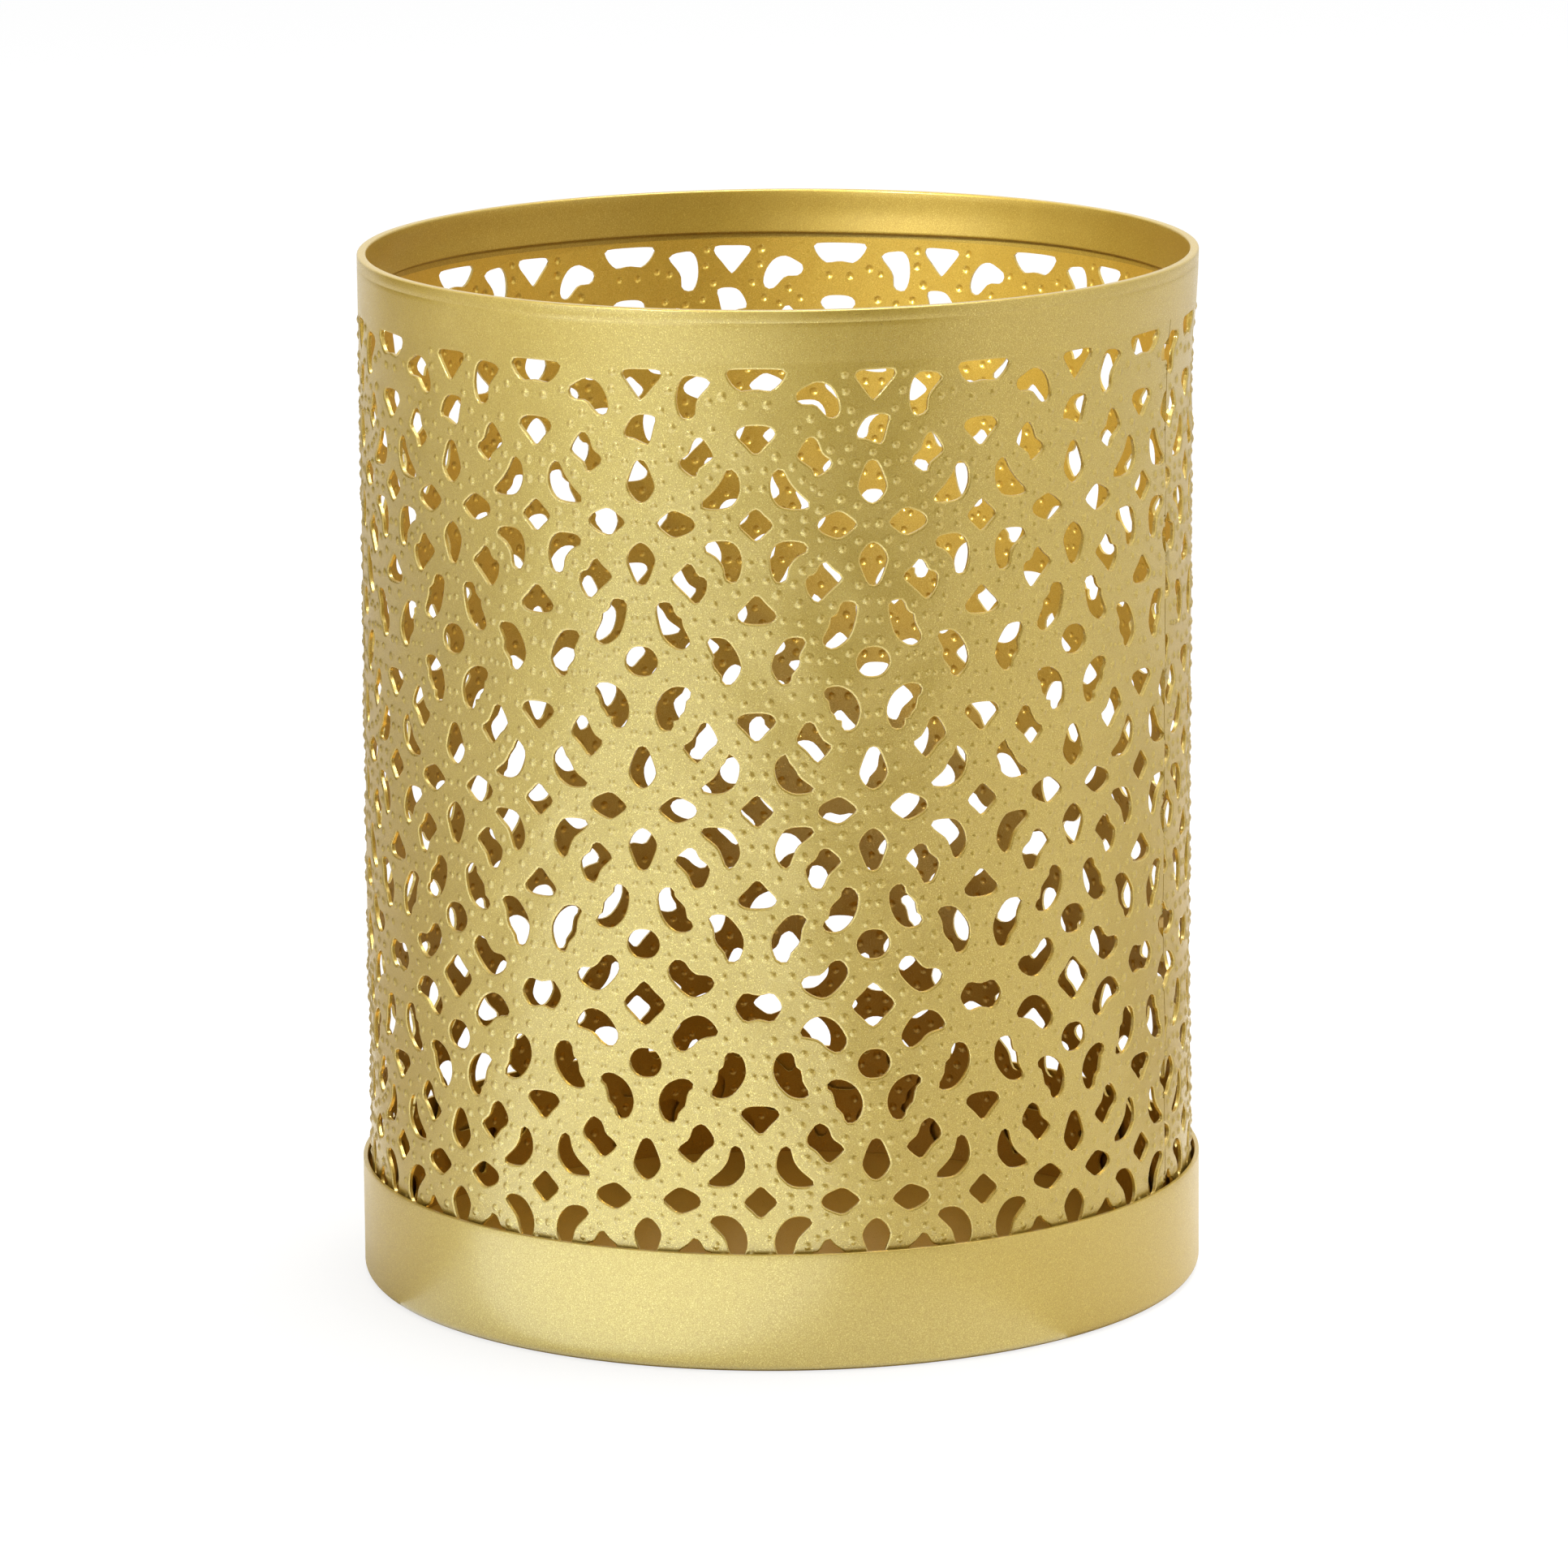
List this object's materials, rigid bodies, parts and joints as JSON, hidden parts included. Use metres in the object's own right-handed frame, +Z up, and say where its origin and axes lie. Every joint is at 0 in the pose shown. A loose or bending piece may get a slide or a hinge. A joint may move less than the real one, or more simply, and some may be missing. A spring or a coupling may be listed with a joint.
{
  "type": "tealight lantern",
  "caption": "Round candle lantern: an open-topped sheet sleeve pierced with rosettes, standing in a shallow cup.",
  "frame": {"origin": "centre of the base cup's underside, on the table", "axes": "+Z up along the lantern's axis, -Y towards the front of the picture"},
  "size_m": [0.08, 0.08, 0.098],
  "materials": {
    "base": "satin gold paint with a fine flake",
    "sleeve": "satin gold paint with a fine flake, thinner and browner inside",
    "weld": "thin brown-gold paint"
  },
  "bodies": {
    "root": {"base_cup": "base", "pierced_sleeve": "sleeve", "seam_tacks": "weld"}
  },
  "joints": []
}
